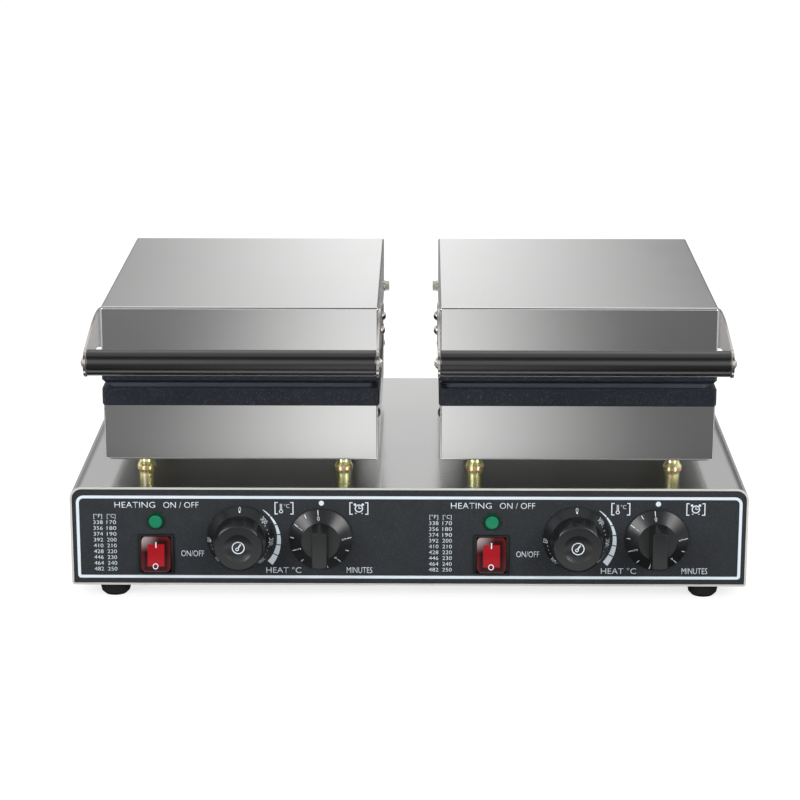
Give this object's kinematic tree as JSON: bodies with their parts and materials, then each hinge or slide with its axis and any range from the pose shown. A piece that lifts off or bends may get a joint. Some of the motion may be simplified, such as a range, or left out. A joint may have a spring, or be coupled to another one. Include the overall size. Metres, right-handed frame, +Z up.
{
  "type": "double waffle maker",
  "caption": "Countertop double waffle maker: hinged square cooking heads on posts above a control base with rocker switches, lamps, temperature and timer knobs.",
  "frame": {"origin": "on the table under the feet, at the middle of the whole outline in plan", "axes": "+X to the right along the control panel, +Y towards the hinges at the rear, +Z up"},
  "size_m": [0.5, 0.4076, 0.2184],
  "materials": {
    "case_steel": "polished stainless sheet with fine lengthwise grain",
    "base_steel": "polished stainless sheet",
    "panel_black": "fine textured black coat, pale line print",
    "plain_steel": "plain sheet steel",
    "cast_black": "cast aluminium with a blue-black non-stick coat",
    "grip_black": "satin black moulded grip",
    "knob_black": "satin black moulded knob with white marks",
    "switch_black": "black moulded switch frame",
    "rocker_red": "smoked red translucent rocker, lit",
    "lamp_green": "green translucent lens",
    "foot_rubber": "black rubber",
    "zinc_yellow": "yellow chromate zinc plate",
    "screw_steel": "bright plated steel",
    "heater_steel": "annealed heating element sheath",
    "pad_fibre": "white ceramic fibre pad",
    "block_ceramic": "cream moulded terminal block",
    "gland_black": "black nylon",
    "control_grey": "moulded control housing"
  },
  "bodies": {
    "root": {"base_shell": "base_steel", "base_bottom_plate": "plain_steel", "control_panel": "panel_black", "rear_panel": "base_steel", "rubber_feet": "foot_rubber", "foot_screws": "screw_steel", "terminal_block": "block_ceramic", "cable_gland": "gland_black", "stand_off_posts": "zinc_yellow", "post_bolts": "zinc_yellow", "hinge_brackets": "plain_steel", "pivot_bolts": "screw_steel", "case_screws": "screw_steel", "left_lower_case": "case_steel", "left_lower_plate": "cast_black", "left_lower_heater": "heater_steel", "left_lower_heater_clamps": "plain_steel", "left_switch_body": "switch_black", "left_indicator_lamp": "lamp_green", "left_thermostat": "control_grey", "left_timer": "control_grey", "right_lower_case": "case_steel", "right_lower_plate": "cast_black", "right_lower_heater": "heater_steel", "right_lower_heater_clamps": "plain_steel", "right_switch_body": "switch_black", "right_indicator_lamp": "lamp_green", "right_thermostat": "control_grey", "right_timer": "control_grey"},
    "left_lid": {"left_lid_cover": "case_steel", "left_upper_plate": "cast_black", "left_upper_heater": "heater_steel", "left_upper_heater_clamps": "plain_steel", "left_lid_insulation": "pad_fibre", "left_handle_arms": "case_steel", "left_arm_screws": "screw_steel", "left_handle_grip": "grip_black", "left_handle_rod": "screw_steel"},
    "left_rocker": {"left_switch_rocker": "rocker_red"},
    "left_temperature_dial": {"left_temperature_knob": "knob_black", "left_thermostat_spindle": "screw_steel"},
    "left_timer_dial": {"left_timer_knob": "knob_black", "left_timer_spindle": "screw_steel"},
    "right_lid": {"right_lid_cover": "case_steel", "right_upper_plate": "cast_black", "right_upper_heater": "heater_steel", "right_upper_heater_clamps": "plain_steel", "right_lid_insulation": "pad_fibre", "right_handle_arms": "case_steel", "right_arm_screws": "screw_steel", "right_handle_grip": "grip_black", "right_handle_rod": "screw_steel"},
    "right_rocker": {"right_switch_rocker": "rocker_red"},
    "right_temperature_dial": {"right_temperature_knob": "knob_black", "right_thermostat_spindle": "screw_steel"},
    "right_timer_dial": {"right_timer_knob": "knob_black", "right_timer_spindle": "screw_steel"}
  },
  "joints": [
    {"name": "left_lid_hinge", "type": "hinge", "parent": "root", "child": "left_lid", "pos_m": [-0.124, 0.1222, 0.1821], "axis": [-1, 0, 0], "range_deg": [0, 95]},
    {"name": "left_rocker_tilt", "type": "hinge", "parent": "root", "child": "left_rocker", "pos_m": [-0.1869, -0.1324, 0.0356], "axis": [1, 0, 0], "range_deg": [0, 22]},
    {"name": "left_temperature_turn", "type": "hinge", "parent": "root", "child": "left_temperature_dial", "pos_m": [-0.1244, -0.1324, 0.0484], "axis": [0, 1, 0], "range_deg": [0, 309]},
    {"name": "left_timer_turn", "type": "hinge", "parent": "root", "child": "left_timer_dial", "pos_m": [-0.065, -0.1324, 0.0479], "axis": [0, 1, 0], "range_deg": [0, 270]},
    {"name": "right_lid_hinge", "type": "hinge", "parent": "root", "child": "right_lid", "pos_m": [0.124, 0.1222, 0.1821], "axis": [-1, 0, 0], "range_deg": [0, 95]},
    {"name": "right_rocker_tilt", "type": "hinge", "parent": "root", "child": "right_rocker", "pos_m": [0.0611, -0.1324, 0.0356], "axis": [1, 0, 0], "range_deg": [0, 22]},
    {"name": "right_temperature_turn", "type": "hinge", "parent": "root", "child": "right_temperature_dial", "pos_m": [0.1236, -0.1324, 0.0484], "axis": [0, 1, 0], "range_deg": [0, 309]},
    {"name": "right_timer_turn", "type": "hinge", "parent": "root", "child": "right_timer_dial", "pos_m": [0.183, -0.1324, 0.0479], "axis": [0, 1, 0], "range_deg": [0, 270]}
  ]
}
